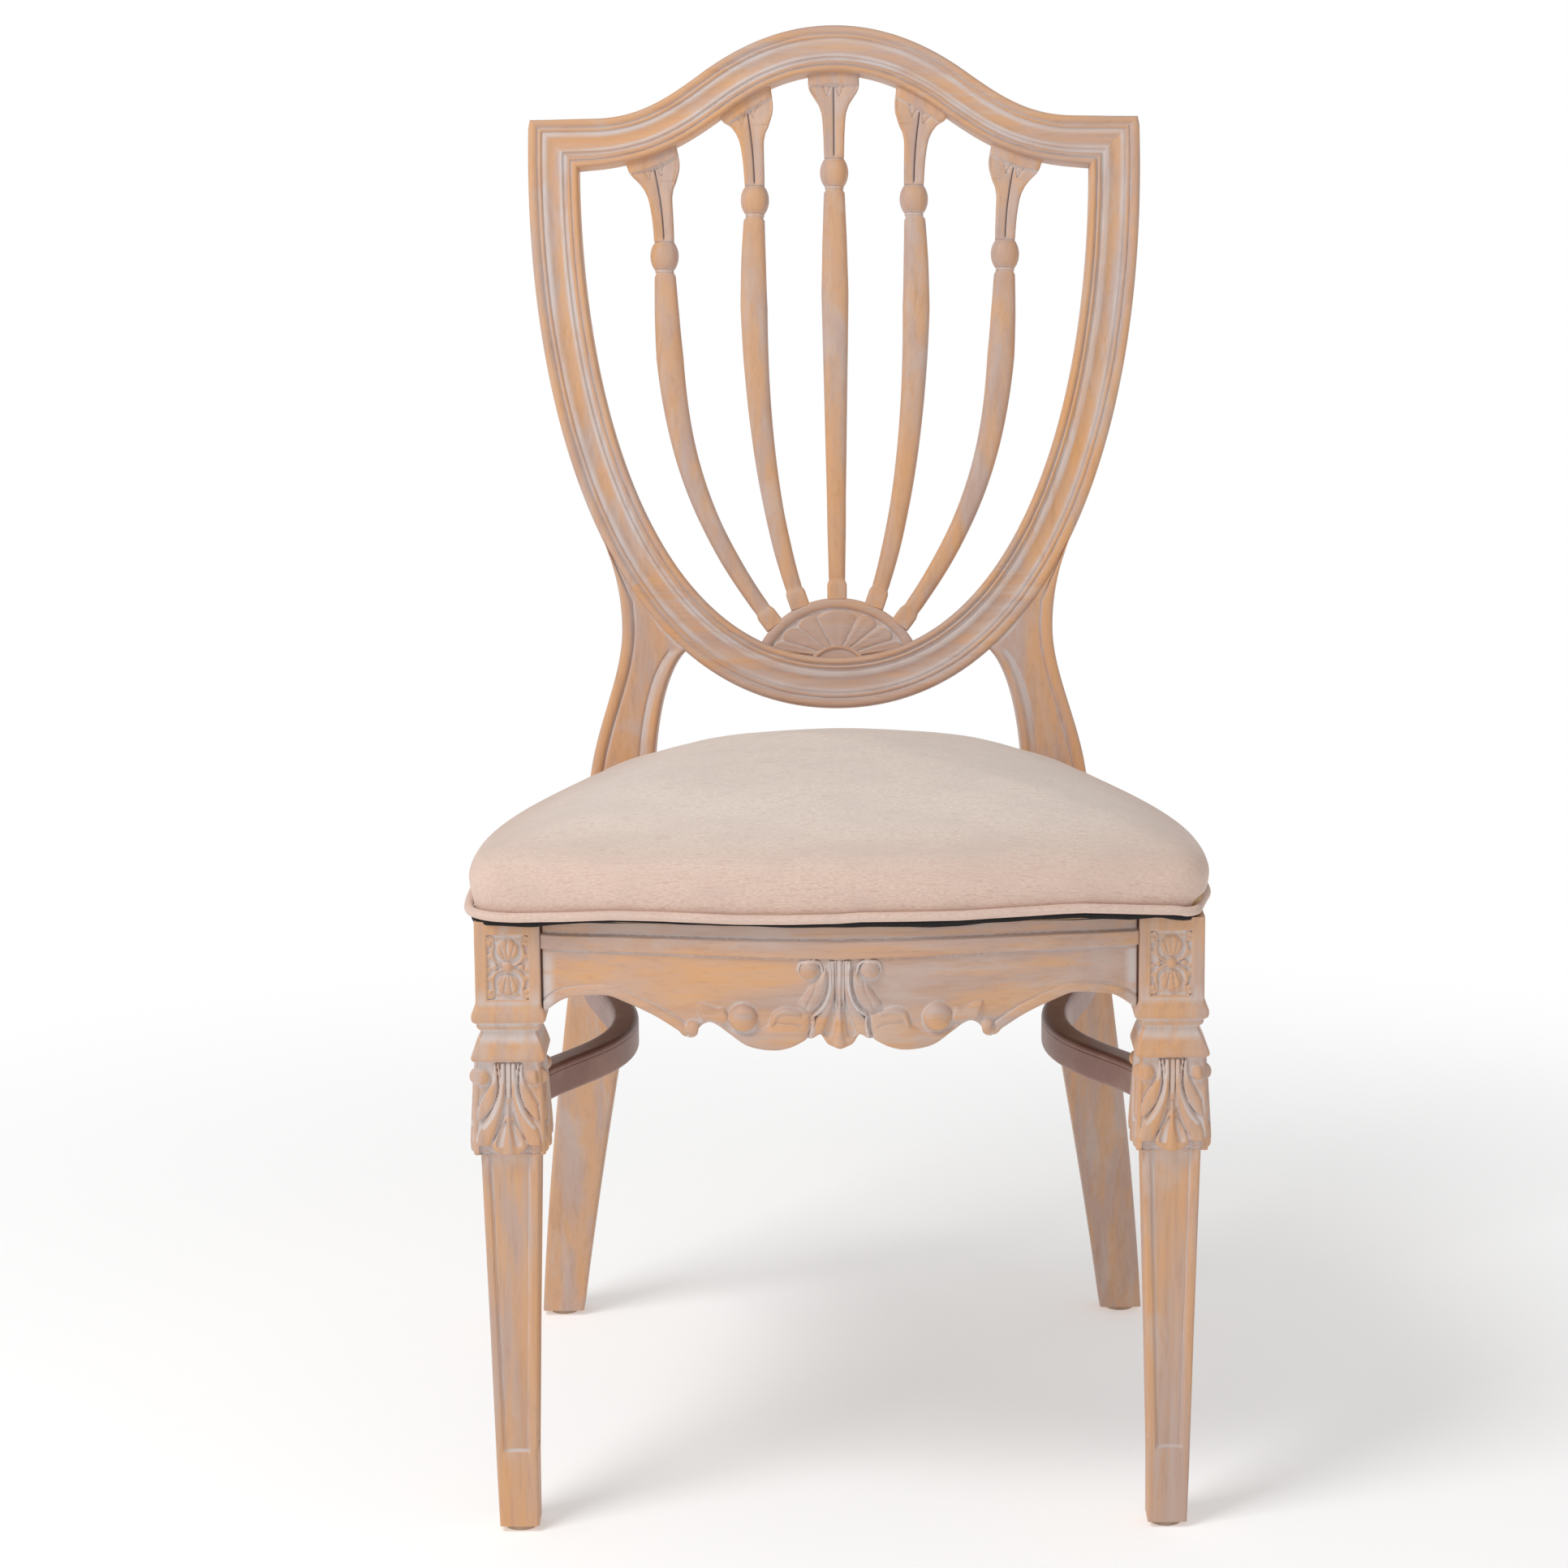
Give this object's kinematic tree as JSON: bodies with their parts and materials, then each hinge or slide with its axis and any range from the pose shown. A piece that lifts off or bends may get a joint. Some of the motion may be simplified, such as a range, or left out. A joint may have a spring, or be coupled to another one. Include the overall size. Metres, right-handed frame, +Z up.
{
  "type": "shield-back dining chair",
  "caption": "Dining chair with a moulded shield back, curved splats, square tapered legs with carved collars, bowed carved apron and piped cushion seat.",
  "frame": {"origin": "middle of the chair's bounding box in X and Y, on the floor", "axes": "+Z up, the chair faces -Y, +X to the right as seen from the front"},
  "size_m": [0.4988, 0.567, 0.9973],
  "materials": {
    "limed_wood": "blond wood with a grey-white wash rubbed into grooves, satin",
    "brown_wood": "brown stain, satin",
    "block_wood": "raw",
    "plywood": "raw",
    "dowel_wood": "raw",
    "foam": "open-cell foam",
    "linen": "plain heathered weave",
    "black_cloth": "thin non-woven",
    "glide_plastic": "matte",
    "screw_steel": "zinc plated"
  },
  "bodies": {
    "root": {"front_leg_left": "limed_wood", "front_leg_right": "limed_wood", "rear_leg_left": "limed_wood", "rear_leg_right": "limed_wood", "crest_rail": "limed_wood", "shield_stile_left": "limed_wood", "shield_stile_right": "limed_wood", "shield_bow": "limed_wood", "spindle_outer_left": "limed_wood", "spindle_inner_left": "limed_wood", "spindle_centre": "limed_wood", "spindle_inner_right": "limed_wood", "spindle_outer_right": "limed_wood", "lunette": "limed_wood", "front_apron": "limed_wood", "side_rail_left": "limed_wood", "side_rail_right": "limed_wood", "back_rail": "limed_wood", "brace_left": "brown_wood", "brace_right": "brown_wood", "corner_block_front_left": "block_wood", "corner_block_front_right": "block_wood", "corner_block_rear_left": "block_wood", "corner_block_rear_right": "block_wood", "seat_board": "plywood", "seat_foam": "foam", "seat_cover": "linen", "seat_piping": "linen", "dust_cover": "black_cloth", "glide_front_left": "glide_plastic", "glide_front_right": "glide_plastic", "glide_rear_left": "glide_plastic", "glide_rear_right": "glide_plastic", "seat_screws": "screw_steel", "block_screws": "screw_steel", "glide_nails": "screw_steel", "brace_dowels": "dowel_wood", "shield_dowels": "dowel_wood"}
  },
  "joints": []
}
